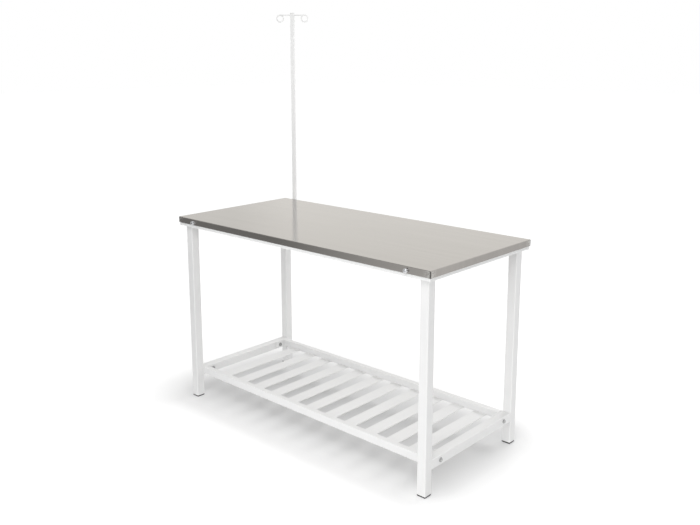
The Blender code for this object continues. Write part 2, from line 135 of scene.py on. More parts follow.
floor_half, floor_drop = 30, 0.0002
floor_mesh = bpy.data.meshes.new("floor")
floor_mesh.from_pydata([(sx * floor_half, sy * floor_half, -floor_drop)
                        for sx, sy in ((-1, -1), (1, -1), (1, 1), (-1, 1))], [], [(0, 1, 2, 3)])
floor = in_scene("floor", floor_mesh)
floor_paint = bpy.data.materials.new("pale_floor")
tree = bare_tree(floor_paint)
# The floor shows a darker tone to the eye than to light, which paints shade wherever it doesn't glow.
tone_lit, painted_shade_tone = 0.90, 0.72
matt = made_by(tree, "ShaderNodeBsdfDiffuse", {
    "Color": span(tree, seen_directly(tree), tone_lit, painted_shade_tone)})
# To the eye the floor glows white around the table and hardly under it: a painted shadow under the
# table, over its real shadow.
shade_shift, shade_half, shade_fade = (0.05, -0.05, 0.0), (0.60, 0.20, 0.0), 0.40
glow_in_painted_shadow, glow_round_painted_shadow = 0.05, 0.52
spot = add_node(tree, "ShaderNodeTexCoord").outputs["Object"]
from_middle = vector_of(tree, "ABSOLUTE", vector_of(tree, "ADD", spot, shade_shift))
beyond = vector_of(tree, "MAXIMUM", vector_of(tree, "SUBTRACT", from_middle, shade_half), (0, 0, 0))
spread = made_by(tree, "ShaderNodeMapRange", {
    "Value": vector_of(tree, "LENGTH", beyond), "From Max": shade_fade,
    "To Min": glow_in_painted_shadow, "To Max": glow_round_painted_shadow}, interpolation_type="SMOOTHSTEP")
glow = made_by(tree, "ShaderNodeEmission", {
    "Strength": value_of(tree, "MULTIPLY", seen_directly(tree), spread)})
paint = made_by(tree, "ShaderNodeAddShader", {0: matt, 1: glow})
add_node(tree, "ShaderNodeOutputMaterial", {"Surface": paint})
floor_paint.cycles.emission_sampling = "NONE"
floor_mesh.materials.append(floor_paint)


def soft_lamp(name, place, aim, width, height, power):
    """A rectangular soft box that faces a point."""
    lamp = bpy.data.lights.new(name, "AREA")
    lamp.shape = "RECTANGLE"
    lamp.size, lamp.size_y, lamp.energy = width, height, power
    holder = in_scene(name, lamp)
    holder.location = place
    holder.rotation_euler = (Vector(aim) - Vector(place)).to_track_quat("-Z", "Y").to_euler()
    return holder


soft_lamp("key_lamp", (1.3, -1.8, 2.7), (0.1, 0.0, 0.3), 1.6, 1.2, 15)
back_lamp = soft_lamp("back_lamp", (0.3, 1.9, 2.2), (0.1, 0.0, 0.1), 1.6, 1.0, 23)
back_lamp.visible_glossy = False


def reflection_card(name, start, end, heights, tones, axis="X", tint=(1, 1, 1)):
    """An upright card, seen only in reflections: one tone, or pairs of place and tone on an axis."""
    low, high = heights
    mesh = bpy.data.meshes.new(name)
    mesh.from_pydata([(*start, low), (*end, low), (*end, high), (*start, high)], [], [(0, 1, 2, 3)])
    card = in_scene(name, mesh)
    paint = bpy.data.materials.new(name)
    tree = bare_tree(paint)
    if isinstance(tones, float):
        colour = (tones, tones, tones, 1)
    else:
        spot = add_node(tree, "ShaderNodeTexCoord").outputs["Object"]
        along = add_node(tree, "ShaderNodeSeparateXYZ", {0: spot}).outputs[axis]
        first, last = tones[0][0], tones[-1][0]
        ramp = add_node(tree, "ShaderNodeValToRGB", {"Fac": span(tree, along, 0, 1, first, last)})
        stops = ramp.color_ramp.elements
        for at, tone in tones[1:-1]:
            stops.new((at - first) / (last - first))
        for stop, (at, tone) in zip(stops, tones):
            stop.color = (*(tone * part for part in tint), 1)
        colour = ramp.outputs["Color"]
    dull = made_by(tree, "ShaderNodeEmission", {"Color": colour})
    add_node(tree, "ShaderNodeOutputMaterial", {"Surface": dull})
    paint.cycles.emission_sampling = "NONE"
    mesh.materials.append(paint)
    card.visible_camera = card.visible_diffuse = card.visible_shadow = False
    return card


# A dark card in front on the left for the front skirt, a black one above it for the studs, a grey
# one behind on the right for the end skirt, and a warm white one behind on the left for the worktop
reflection_card("dark_card", (-3.2, -1.2), (1.3, -1.2), (0.0, 1.1),
                ((-3.2, 0.28), (-1.0, 0.28), (0.1, 0.74), (1.3, 0.95)))
reflection_card("black_card", (-3.0, -1.2), (0.5, -1.2), (1.45, 3.2), 0.02)
reflection_card("grey_card", (1.5, 0.1), (1.5, 3.2), (0.0, 1.1),
                ((0.1, 0.85), (0.8, 0.87), (1.15, 0.79), (3.2, 0.77)), "Y")
reflection_card("warm_card", (-6.5, 3.2), (0.5, 3.2), (0.9, 3.0),
                ((-6.5, 0.88), (-4.6, 0.89), (-3.7, 1.0), (0.5, 1.0)), tint=(1.0, 0.985, 0.955))
# A dull card that isn't reflected keeps part of the room's light off the front of the left leg.
leg_card = reflection_card("leg_card", (-1.6, -0.75), (-0.74, -0.75), (0.15, 0.95), 0.15)
leg_card.visible_diffuse, leg_card.visible_glossy = True, False


# Legs
# Square steel tube with drawn corners, cut to length and finished in a white powder coat that
# has the coat's fine orange peel, and a painted highlight that lightens the coat on the corners.
def outline(width, depth, corner, steps=6, support=0.0006):
    """Points round a rectangle with round corners, and a mark on those that lie on a corner."""
    places, marks = [], []
    for quarter, (sx, sy) in enumerate(((1, 1), (-1, 1), (-1, -1), (1, -1))):
        middle = Vector((sx * (width / 2 - corner), sy * (depth / 2 - corner)))
        for step in range(-1, steps + 2):
            angle = pi / 2 * (quarter + min(max(step, 0), steps) / steps)
            point = middle + corner * Vector((cos(angle), sin(angle)))
            beside = (step > steps) - (step < 0)
            places.append(point + beside * support * Vector((-sin(angle), cos(angle))))
            marks.append(1.0 if 0 < step < steps else 0.0)
    return places, marks


def finished(name, bm, sharp=35):
    """Plain mesh from a bmesh: faces outward, smooth apart from its sharp edges."""
    bmesh.ops.recalc_face_normals(bm, faces=bm.faces)
    for face in bm.faces:
        face.smooth = True
    for edge in bm.edges:
        edge.smooth = edge.calc_face_angle(0.0) < radians(sharp)
    mesh = bpy.data.meshes.new(name)
    bm.to_mesh(mesh)
    bm.free()
    return mesh


def skin(name, rings, marks=None, closed=False, sharp=35):
    """Mesh through rings of points, capped at both ends or closed back on itself."""
    bm = bmesh.new()
    fold = bm.verts.layers.float.new("fold")
    count = len(rings[0])
    rows = []
    for ring in rings:
        rows.append([bm.verts.new(point) for point in ring])
        for vert, mark in zip(rows[-1], marks or [0.0] * count):
            vert[fold] = mark
    for low, high in zip(rows, rows[1:] + (rows[:1] if closed else [])):
        for i in range(count):
            bm.faces.new((low[i], low[(i + 1) % count], high[(i + 1) % count], high[i]))
    if not closed:
        bm.faces.new(rows[0][::-1])
        bm.faces.new(rows[-1])
    return finished(name, bm, sharp)


def section(points, axis, across, at):
    """A flat outline stood across an axis at a place along it, round a centre line."""
    first, second = [i for i in range(3) if i != axis]
    ring = []
    for point in points:
        place = [0.0, 0.0, 0.0]
        place[first], place[second] = across[first] + point.x, across[second] + point.y
        place[axis] = at
        ring.append(Vector(place))
    return ring


tube_corner, tube_wall = 0.003, 0.0015


def square_tube(node, axis, corner, shut=False):
    """Tube with round corners that fills a solid's box along an axis, open or with shut ends."""
    least_corner = 0.0004
    low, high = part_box(node)
    size, middle = high - low, (low + high) / 2
    width, depth = [size[i] for i in range(3) if i != axis]
    outside, marks = outline(width, depth, corner)
    inside, _ = outline(width - 2 * tube_wall, depth - 2 * tube_wall,
                        max(corner - tube_wall, least_corner))
    rings = [section(outside, axis, middle, low[axis]), section(outside, axis, middle, high[axis])]
    if not shut:
        rings += [section(inside, axis, middle, high[axis]), section(inside, axis, middle, low[axis])]
    return skin(node, rings, marks, closed=not shut)


def piece(name, mesh, finish, body, slot, *stands_for):
    """An object for a finished mesh: its finish, the body it rides on and the solids it shows."""
    thing = in_scene(name, mesh)
    mesh.materials.clear()
    mesh.materials.append(finish)
    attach(thing, body)
    if stands_for:
        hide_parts(*stands_for)


def noise(tree, place, scale, dimensions="3D", **more):
    """Soft noise at a place."""
    return made_by(tree, "ShaderNodeTexNoise", {"Vector": place, "Scale": scale, **more},
                   noise_dimensions=dimensions)


# Fine relief, slow unevenness and dust on a coated or moulded skin
dust_scale, dust_from, dust_full = 130.0, 0.66, 0.80
grain = bpy.data.node_groups.new("skin_grain", "ShaderNodeTree")
for label, kind in (("Vector", "Vector"), ("Grain Scale", "Float"), ("Cloud Scale", "Float")):
    grain.interface.new_socket(label, in_out="INPUT", socket_type="NodeSocket" + kind)
for label in ("Relief", "Cloud", "Speck"):
    grain.interface.new_socket(label, in_out="OUTPUT", socket_type="NodeSocketFloat")
given = grain.nodes.new("NodeGroupInput").outputs
spot = given["Vector"]
dust = noise(grain, spot, dust_scale, Detail=3.0, Roughness=0.7)
feed(grain, grain.nodes.new("NodeGroupOutput"), {
    "Relief": noise(grain, spot, given["Grain Scale"], Detail=2.0),
    "Cloud": noise(grain, spot, given["Cloud Scale"], Detail=4.0, Roughness=0.55),
    "Speck": span(grain, dust, 0, 1, dust_from, dust_full)})


def finish_material(name):
    """A material with its shader, its node tree and the object's own coordinates."""
    material = bpy.data.materials.new(name)
    material.use_nodes = True
    tree = material.node_tree
    place = add_node(tree, "ShaderNodeTexCoord").outputs["Object"]
    return material, tree, tree.nodes["Principled BSDF"], place


def blend_colour(tree, factor, first, second):
    """Colour between two, by a factor."""
    colour_in, colour_out = (6, 7), 2
    both = [(*colour, 1.0) if isinstance(colour, tuple) else colour for colour in (first, second)]
    return add_node(tree, "ShaderNodeMix", {"Factor": factor, **dict(zip(colour_in, both))},
                    data_type="RGBA").outputs[colour_out]


def grained(tree, place, grain_scale, cloud_scale):
    """The outputs of the skin grain in a material."""
    return add_node(tree, "ShaderNodeGroup", {
        "Vector": place, "Grain Scale": grain_scale, "Cloud Scale": cloud_scale},
        node_tree=grain).outputs


def bump(tree, height, strength, distance, **more):
    """The normal of a relief that is so many metres high."""
    return made_by(tree, "ShaderNodeBump", {
        "Strength": strength, "Distance": distance, "Height": height, **more})


coat, tree, shader, place = finish_material("white_powder_coat")
skin_of_coat = grained(tree, place, 620.0, 4.0)
painted_highlight_mask = add_node(tree, "ShaderNodeAttribute", attribute_name="fold").outputs["Fac"]
coat_tone = blend_colour(
    tree, span(tree, skin_of_coat["Cloud"], 0, 1, 0.35, 0.65), (0.860, 0.861, 0.859),
    (0.884, 0.884, 0.880))
# Painted highlight: the coat is lighter on the tube and slat corners, as if the light caught them.
coat_with_painted_highlight = blend_colour(tree, span(tree, painted_highlight_mask, 0, 0.8), coat_tone, (0.94, 0.94, 0.935))
dusty = span(tree, skin_of_coat["Speck"], 0, 0.05)
feed(tree, shader, {
    "Base Color": blend_colour(tree, dusty, coat_with_painted_highlight, (0.70, 0.69, 0.66)),
    "Roughness": span(tree, skin_of_coat["Cloud"], 0.34, 0.46, 0.3, 0.7),
    "Normal": bump(tree, skin_of_coat["Relief"], 0.10, 0.0002), "Specular IOR Level": 0.45})


def coated(name, mesh, body="table"):
    """A coated piece that stands for the solid of the same name."""
    piece(name, mesh, coat, body, "white_coat", name)


corners = ("front_left", "front_right", "rear_left", "rear_right")
for corner in corners:
    coated("leg_" + corner, square_tube("leg_" + corner, 2, tube_corner))


# Feet
# Moulded black plugs pressed into the leg ends. The flange under the tube has a soft edge and a
# chamfer on the floor side; the stem stays inside the tube.
def tree_with(name, numbers, counts=()):
    """A geometry node tree with named inputs for its sizes and finish, and its in and out sockets."""
    tree = bpy.data.node_groups.new(name, "GeometryNodeTree")
    inputs = [("Geometry", "Geometry")] + [(label, "Float") for label in numbers]
    inputs += [(label, "Int") for label in counts] + [("Finish", "Material")]
    for label, kind in inputs:
        tree.interface.new_socket(label, in_out="INPUT", socket_type="NodeSocket" + kind)
    tree.interface.new_socket("Geometry", in_out="OUTPUT", socket_type="NodeSocketGeometry")
    return tree, tree.nodes.new("NodeGroupInput").outputs, tree.nodes.new("NodeGroupOutput")


def placed(tree, geometry, size, result):
    """A tree with its end: instances made real, and the finish set."""
    real = made_by(tree, "GeometryNodeRealizeInstances", {"Geometry": geometry})
    clad = made_by(tree, "GeometryNodeSetMaterial", {"Geometry": real, "Material": size["Finish"]})
    feed(tree, result, {"Geometry": clad})
    return tree


tree, size, result = tree_with(
    "corner_set", ("Spread X", "Spread Y", "Height", "Turn Left", "Turn Rear", "Spin"), ("Seed",))
square = made_by(tree, "GeometryNodeMeshGrid", {
    "Size X": size["Spread X"], "Size Y": size["Spread Y"], "Vertices X": 2, "Vertices Y": 2})
lift = made_by(tree, "ShaderNodeCombineXYZ", {"Z": size["Height"]})
raised = made_by(tree, "GeometryNodeSetPosition", {"Geometry": square, "Offset": lift})
spot = made_by(tree, "GeometryNodeInputPosition")
where = add_node(tree, "ShaderNodeSeparateXYZ", {0: spot}).outputs
on_left = value_of(tree, "LESS_THAN", where["X"], 0.0)
at_rear = value_of(tree, "GREATER_THAN", where["Y"], 0.0)
turn = value_of(
    tree, "MULTIPLY_ADD", at_rear, size["Turn Rear"],
    value_of(tree, "MULTIPLY", on_left, size["Turn Left"]))
chance = add_node(
    tree, "FunctionNodeRandomValue", {3: size["Spin"], "Seed": size["Seed"]}, data_type="FLOAT")
facing = made_by(tree, "ShaderNodeCombineXYZ", {"X": chance.outputs[1], "Z": turn})
copies = made_by(tree, "GeometryNodeInstanceOnPoints", {
    "Points": raised, "Instance": size["Geometry"], "Rotation": facing})
corner_set = placed(tree, copies, size, result)


def made_plain(maker, name, sharp=35):
    """Plain mesh of an object as its modifiers leave it. The object and its modifiers go."""
    depsgraph = bpy.context.evaluated_depsgraph_get()
    mesh = bpy.data.meshes.new_from_object(maker.evaluated_get(depsgraph), depsgraph=depsgraph)
    maker.modifiers.clear()
    bpy.data.objects.remove(maker)
    bm = bmesh.new()
    bm.from_mesh(mesh)
    return finished(name, bm, sharp)


def grown(name, tree, base, finish, slot, stands_for=(), body="table", sharp=35, **sizes):
    """A piece that a geometry node tree makes from a base mesh and its named sizes."""
    maker = in_scene(name + "_maker", base)
    modifier = maker.modifiers.new("maker", "NODES")
    modifier.node_group = tree
    labels = {label.replace("_", " "): value for label, value in sizes.items()}
    labels["Finish"] = finish
    for item in tree.interface.items_tree:
        if item.in_out == "INPUT" and item.name in labels:
            modifier[item.identifier] = labels[item.name]
    piece(name, made_plain(maker, name, sharp), finish, body, slot, *stands_for)


def skin_finish(name, scales, colours, rough, relief=None, drift=None, rough_over=(0.3, 0.7),
                **plain):
    """A finish whose colour and gloss drift over its grain, with plain values for other sockets."""
    material, tree, shader, place = finish_material(name)
    surface = grained(tree, place, *scales)
    factor = span(tree, surface["Cloud"], 0, 1, *drift) if drift else surface["Cloud"]
    feed(tree, shader, {
        "Base Color": blend_colour(tree, factor, *colours),
        "Roughness": span(tree, surface["Cloud"], *rough, *rough_over)})
    if relief:
        feed(tree, shader, {"Normal": bump(tree, surface["Relief"], *relief)})
    feed(tree, shader, {label.replace("_", " "): value for label, value in plain.items()})
    return material


black = skin_finish(
    "black_moulding", (1400.0, 22.0), ((0.012, 0.012, 0.013), (0.026, 0.026, 0.028)), (0.42, 0.62),
    (0.35, 0.0002), Specular_IOR_Level=0.3)

fit = 0.0003
foot_low, foot_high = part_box("foot_front_left")
flange_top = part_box("leg_front_left")[0].z - fit
foot_width = foot_high.x - foot_low.x
stem_width, stem_corner = foot_width - 2 * (tube_wall + fit), 0.002
foot_rings = []
for height, width, radius in (
        (0.0, foot_width - 0.0024, 0.0026), (0.0009, foot_width - 0.0008, 0.0028),
        (0.0018, foot_width, tube_corner), (flange_top - 0.0006, foot_width, tube_corner),
        (flange_top - 0.0002, foot_width - 0.0004, tube_corner),
        (flange_top, foot_width - 0.0012, tube_corner), (flange_top, stem_width, stem_corner),
        (foot_high.z - 0.002, stem_width, stem_corner),
        (foot_high.z, stem_width - 0.002, stem_corner)):
    foot_rings.append([point.to_3d() + Vector((0, 0, height))
                       for point in outline(width, width, radius)[0]])
foot_middle = (foot_low + foot_high) / 2
grown("feet", corner_set, skin("foot", foot_rings), black, "black_plastic",
      ["foot_" + corner for corner in corners],
      Spread_X=-2 * foot_middle.x, Spread_Y=-2 * foot_middle.y)


# Top frame
# Rectangular tube on edge, welded into a ring inside the skirt, with two cross members that carry
# the sheet. The rails show as a white strip below the skirt; the ends of the long ones are shut.
# The front and rear rails are drilled for the studs.
def ring_of(reach, height, count=48):
    """Ring of points, each as far from the axis as a function of its angle says."""
    angles = [2 * pi * i / count for i in range(count)]
    return [Vector((reach(a) * cos(a), reach(a) * sin(a), height)) for a in angles]


def round_ring(radius, height, count=48):
    """Ring of points on a circle."""
    return ring_of(lambda angle: radius, height, count)


def round_rings(profile, count=48):
    """Rings on circles, from pairs of radius and height."""
    return [round_ring(radius, height, count) for radius, height in profile]


def moved(rings, place):
    """Rings of points put in a place."""
    return [[place @ point for point in ring] for ring in rings]


def drilled(mesh, radius, *holes):
    """The mesh with round holes cut in it, each from a start to an end."""
    maker = in_scene(mesh.name + "_maker", mesh)
    bits = []
    for start, end in holes:
        along = end - start
        turn = Matrix.Translation(start) @ along.to_track_quat("Z", "Y").to_matrix().to_4x4()
        ends = round_rings(((radius, 0.0), (radius, along.length)))
        bits.append(in_scene("drill", skin("drill", moved(ends, turn))))
        cut = maker.modifiers.new("hole", "BOOLEAN")
        cut.operation, cut.solver, cut.object = "DIFFERENCE", "EXACT", bits[-1]
    result = made_plain(maker, mesh.name)
    for bit in bits:
        bpy.data.objects.remove(bit)
    return result


def at_corners(start, end):
    """A hole at the front right corner, mirrored to all four."""
    return [(Vector((sx * start.x, sy * start.y, start.z)), Vector((sx * end.x, sy * end.y, end.z)))
            for sx in (-1, 1) for sy in (-1, 1)]


rail_corner = 0.0025
stud_low, stud_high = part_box("tie_down_stud_front_right")
stud_middle = (stud_low + stud_high) / 2
stud_hole, drill_past = 0.0033, 0.002
stud_holes = at_corners(
    Vector((stud_middle.x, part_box("worktop")[0].y - drill_past, stud_middle.z)),
    Vector((stud_middle.x, stud_high.y + drill_past, stud_middle.z)))
for side in ("front", "rear"):
    rail = square_tube("top_rail_" + side, 0, rail_corner, shut=True)
    coated("top_rail_" + side, drilled(rail, stud_hole, *stud_holes))
for side in ("left", "right"):
    for part in ("top_rail_", "top_cross_"):
        coated(part + side, square_tube(part + side, 1, rail_corner))


# Shelf rails and lugs
# Square end rails are welded between the legs and never come off. The deck's two long rails end
# in flat lugs that the bolts pull against the end rails, which are drilled for them.
bolt_low, bolt_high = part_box("shelf_bolt_front_right")
bolt_middle = (bolt_low + bolt_high) / 2
bolt_hole = 0.0043
bolt_holes = at_corners(
    Vector((bolt_low.x, bolt_middle.y, bolt_middle.z)),
    Vector((bolt_high.x, bolt_middle.y, bolt_middle.z)))
for side in ("left", "right"):
    rail = square_tube("shelf_end_rail_" + side, 1, tube_corner)
    coated("shelf_end_rail_" + side, drilled(rail, bolt_hole, *bolt_holes))
for side in ("front", "rear"):
    coated("shelf_rail_" + side, square_tube("shelf_rail_" + side, 0, rail_corner))
for corner in corners:
    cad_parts["shelf_lug_" + corner].material_slots[0].material = coat


# Slats
# Eleven flat bars from front to back, evenly spaced and welded to the long rails below their
# top edge, so that the rails stand up around the deck as a rim.
tree, size, result = tree_with("slat_row", ("Start", "Pitch"), ("Count",))
begin = made_by(tree, "ShaderNodeCombineXYZ", {"X": size["Start"]})
pitch = made_by(tree, "ShaderNodeCombineXYZ", {"X": size["Pitch"]})
row = made_by(tree, "GeometryNodeMeshLine", {
    "Count": size["Count"], "Start Location": begin, "Offset": pitch})
copies = made_by(tree, "GeometryNodeInstanceOnPoints", {"Points": row, "Instance": size["Geometry"]})
slat_row = placed(tree, copies, size, result)

slat_names = ["shelf_slat_%02d" % (i + 1) for i in range(11)]
first_low, first_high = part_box(slat_names[0])
last_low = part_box(slat_names[-1])[0]
slat_size, slat_middle = first_high - first_low, (first_low + first_high) / 2
slat_edge, slat_support = 0.0006, 0.0004
rings = []
for along, inset in ((first_low.y, slat_edge), (first_low.y + slat_edge, 0),
                     (first_high.y - slat_edge, 0), (first_high.y, slat_edge)):
    shape, marks = outline(slat_size.x - 2 * inset, slat_size.z - 2 * inset, slat_edge, 3,
                           slat_support)
    rings.append(section(shape, 1, Vector((0, 0, slat_middle.z)), along))
grown("shelf_slats", slat_row, skin("slat", rings, marks), coat, "white_coat", slat_names,
      Count=len(slat_names), Start=slat_middle.x,
      Pitch=(last_low.x - first_low.x) / (len(slat_names) - 1))


# Weld seams
# Short rippled beads of filler in the corners where tube meets tube and slat meets rail, laid
# before coating and covered by the same white coat.
def swept(tree, line, sides, scale, size, result):
    """A tree with its end: a round bar along a line, as thick as its scale says."""
    ring = made_by(tree, "GeometryNodeCurvePrimitiveCircle", {"Resolution": sides, "Radius": 1.0})
    bar = made_by(tree, "GeometryNodeCurveToMesh", {
        "Curve": line, "Profile Curve": ring, "Fill Caps": True, "Scale": scale})
    return placed(tree, bar, size, result)


tree, size, result = tree_with("weld_run", ("Bead", "Ripple", "Step"))
least_bead, ripple_share, uneven_share, uneven_scale = 0.70, 0.09, 0.5, 160.0
path = made_by(tree, "GeometryNodeMeshToCurve", {"Mesh": size["Geometry"]})
beads = made_by(
    tree, "GeometryNodeResampleCurve", {"Curve": path, "Length": size["Step"]}, mode="LENGTH")
travel = add_node(tree, "GeometryNodeSplineParameter").outputs["Length"]
turns = value_of(tree, "DIVIDE", travel, size["Ripple"])
wave = value_of(tree, "SINE", value_of(tree, "MULTIPLY", turns, 2 * pi))
swell = value_of(tree, "MULTIPLY_ADD", wave, ripple_share, least_bead)
uneven = made_by(tree, "ShaderNodeTexNoise", {"Scale": uneven_scale})
height = value_of(tree, "MULTIPLY_ADD", uneven, uneven_share, swell)
weld_run = swept(tree, beads, 8, value_of(tree, "MULTIPLY", height, size["Bead"]), size, result)


def line_mesh(name, lines):
    """Bare edges along lines, for weld beads or a bent rod to follow."""
    points, edges = [], []
    for line in lines:
        edges += [(len(points) + i, len(points) + i + 1) for i in range(len(line) - 1)]
        points += [tuple(point) for point in line]
    mesh = bpy.data.meshes.new(name)
    mesh.from_pydata(points, edges, [])
    return mesh


def seam(box, axis, place, inset=0.003):
    """A straight seam through a place, along an axis from end to end of a box, less an inset."""
    return [tuple(at if i == axis else place[i] for i in range(3))
            for at in (box[0][axis] + inset, box[1][axis] - inset)]


seams = []
flush_inset, cross_inset = 0.0018, 0.002
for name in slat_names:
    low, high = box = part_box(name)
    seams += [seam(box, 0, (0, edge, first_high.z)) for edge in (low.y, high.y)]
for side in ("left", "right"):
    low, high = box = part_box("shelf_end_rail_" + side)
    inner_x, outer_x = (high.x, low.x) if side == "left" else (low.x, high.x)
    flush_x = outer_x - copysign(flush_inset, low.x)
    for edge in (low.y, high.y):
        seams += [seam(box, 0, (0, edge, z)) for z in (low.z, high.z)]
        seams += [seam(box, 2, (x, edge, 0)) for x in (inner_x, flush_x)]
rail_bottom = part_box("top_rail_front")[0].z
for corner in corners:
    low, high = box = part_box("leg_" + corner)
    seams.append(seam(box, 0, (0, low.y if "front" in corner else high.y, rail_bottom)))
    seams.append(seam(box, 1, (low.x if "left" in corner else high.x, 0, rail_bottom)))
    low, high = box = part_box("shelf_lug_" + corner)
    seams.append(seam(box, 2, (high.x if "left" in corner else low.x,
                               low.y if "front" in corner else high.y, 0)))
for side in ("left", "right"):
    low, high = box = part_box("top_cross_" + side)
    seams += [seam(box, 0, (0, edge, low.z), cross_inset) for edge in (low.y, high.y)]
grown("weld_seams", weld_run, line_mesh("seams", seams), coat, "white_coat", sharp=60,
      Bead=0.0016, Ripple=0.0042, Step=0.0012)


# Shelf bolts and nuts
# Zinc-plated hex bolts with a pressed flange go in from outside through the end rails; flanged
# nuts on the lugs inside hold them. Each sits at its own angle.
half_flats = 0.013 / 2


def hex_ring(radius, height):
    """Ring of a hexagon whose corners are cut back to a circle, which is how a head is turned."""
    def reach(angle):
        return min(half_flats / cos((angle + pi / 6) % (pi / 3) - pi / 6), radius)
    return ring_of(reach, height)


def thread_rings(radius, depth, pitch, start, end, count=48, steps=8):
    """Rings of a helical thread: the ridge climbs one pitch for each turn."""
    total = max(2, round((end - start) / pitch * steps))
    rings = []
    for k in range(total + 1):
        along = (end - start) * k / total
        fade = min(1.0, along / pitch, (end - start - along) / pitch)
        ring = []
        for i in range(count):
            climb = (along / pitch - i / count) % 1.0
            groove = 1 - abs(2 * climb - 1)
            reach = radius - depth * (fade * groove + (1 - fade) * 0.5)
            angle = 2 * pi * i / count
            ring.append(Vector((reach * cos(angle), reach * sin(angle), start + along)))
        rings.append(ring)
    return rings


zinc = skin_finish(
    "zinc_plate", (2600.0, 260.0), ((0.34, 0.346, 0.358), (0.57, 0.57, 0.557)), (0.20, 0.42),
    (0.15, 0.0001), drift=(0.3, 0.7), Metallic=1.0)

head_height, flange_radius, flange = 0.0053, 0.0085, 0.0015
bolt_radius, thread_depth, thread_pitch = 0.004, 0.0006, 0.00125
nut_low, nut_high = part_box("shelf_nut_front_right")
head_seat = bolt_high.x - head_height
hex_corner = half_flats / cos(pi / 6)
bolt_rings = thread_rings(
    bolt_radius, thread_depth, thread_pitch, bolt_low.x - head_seat, nut_high.x - head_seat)


def flanged_hex(height, cuts, way=1):
    """Rings from the seat of a flange along a hexagon to its turned face."""
    rings = round_rings([(flange_radius + more, way * at) for more, at in (
        (-0.0002, 0), (0, 0.0003), (0, 0.0008), (-0.0003, 0.0011))])
    rings.append(hex_ring(hex_corner, way * flange))
    for radius, cut in zip((hex_corner, hex_corner - 0.0003, half_flats + 0.0001), cuts):
        rings.append(hex_ring(radius, way * (height - cut)))
    return rings + [round_ring(half_flats - 0.0006, way * height)]


bolt_rings += round_rings(((bolt_radius, -0.0003), (bolt_radius, 0)))
bolt_rings += flanged_hex(head_height, (0.0014, 0.0008, 0.0004))
bolt_rings += round_rings(((half_flats - 0.0016, head_height),
                           (half_flats - 0.0022, head_height - 0.0004),
                           (0.0006, head_height - 0.0005)))
to_right = Matrix.Rotation(pi / 2, 4, "Y")
any_angle = {"Spread_Y": -2 * bolt_middle.y, "Height": bolt_middle.z, "Turn_Left": pi, "Spin": pi / 3}
grown("shelf_bolts", corner_set, skin("bolt", moved(bolt_rings, to_right)), zinc, "zinc",
      ["shelf_bolt_" + corner for corner in corners], Spread_X=2 * head_seat, Seed=4, **any_angle)

nut_height = nut_high.x - nut_low.x
nut_hole, hole_edge = bolt_radius + fit, 0.0005
nut_rings = [round_ring(nut_hole, 0)] + flanged_hex(nut_height, (0.0012, 0.0006, 0.0003), -1)
nut_rings += round_rings(((nut_hole + hole_edge, -nut_height), (nut_hole, -nut_height + hole_edge)))
grown("shelf_nuts", corner_set, skin("nut", moved(nut_rings, to_right), closed=True), zinc, "zinc",
      ["shelf_nut_" + corner for corner in corners], Spread_X=2 * nut_high.x, Seed=9, **any_angle)


# Worktop
# One sheet of brushed stainless steel with its four edges folded down. The grain runs along the
# length and over the folds. The skirts meet at the corners in a fine open seam, dark with oxide
# from the tack inside and dressed with a grinder beside it.
def folded_sheet(name, bend, thickness, slit, steps=8):
    """Sheet with four folded skirts; its UV map is the flat sheet in metres."""
    margin, after_bend, before_edge = 0.002, 0.0008, 0.0006
    low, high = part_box("worktop")
    half = Vector((high.x, high.y))
    drop = high.z - low.z
    arc = bend * pi / 2
    fold = [(bend * (1 - sin(a)), bend * (1 - cos(a)), bend * a, i / steps)
            for i, a in ((i, pi / 2 * i / steps) for i in range(steps + 1))]
    fold.append((0.0, bend + after_bend, arc + after_bend, 1.0))
    fold.append((0.0, drop - before_edge, arc + drop - bend - before_edge, 1.0))
    fold.append((0.0, drop, arc + drop - bend, 1.0))
    bm = bmesh.new()
    flat = bm.loops.layers.uv.new("sheet")

    def face(points, places):
        made_face = bm.faces.new([bm.verts.new(point) for point in points])
        for loop, spot in zip(made_face.loops, places):
            loop[flat].uv = spot

    def flat_face(places):
        face([(x, y, high.z) for x, y in places], places)

    square = ((-1, -1), (1, -1), (1, 1), (-1, 1))
    inner, outer = ([(sx * (half.x - bend - more), sy * (half.y - bend - more)) for sx, sy in square]
                    for more in (margin, 0.0))
    flat_face(inner)
    for i in range(4):
        j = (i + 1) % 4
        flat_face([inner[i], outer[i], outer[j], inner[j]])
    for nx, ny in ((1, 0), (0, 1), (-1, 0), (0, -1)):
        out, side = Vector((nx, ny)), Vector((-ny, nx))
        depth, length = (half.x, half.y) if nx else (half.y, half.x)
        for near, far in zip(fold, fold[1:]):
            points, places = [], []
            for edge, sign in ((near, -1), (far, -1), (far, 1), (near, 1)):
                inset, down, travel_out, open_share = edge
                end = sign * (length - inset - slit / 2 * open_share)
                spot = out * (depth - inset) + side * end
                points.append((spot.x, spot.y, high.z - down))
                unfolded = out * (depth - bend + travel_out) + side * end
                places.append((unfolded.x, unfolded.y))
            face(points, places)
    bmesh.ops.remove_doubles(bm, verts=bm.verts, dist=1e-6)
    maker = in_scene(name + "_maker", finished(name, bm))
    gauge = maker.modifiers.new("gauge", "SOLIDIFY")
    gauge.thickness, gauge.offset, gauge.use_even_offset = thickness, -1, True
    return made_plain(maker, name)


stainless, tree, shader, place = finish_material("brushed_stainless")
sheet_place = made_by(tree, "ShaderNodeUVMap", uv_map="sheet")


def sheet_noise(scale=1.0, stretch=None, **more):
    """Noise over the flat sheet, drawn out along the grain where it has a stretch."""
    vector = sheet_place
    if stretch:
        vector = made_by(tree, "ShaderNodeMapping", {"Vector": vector, "Scale": stretch})
    return noise(tree, vector, scale, "2D", **more)


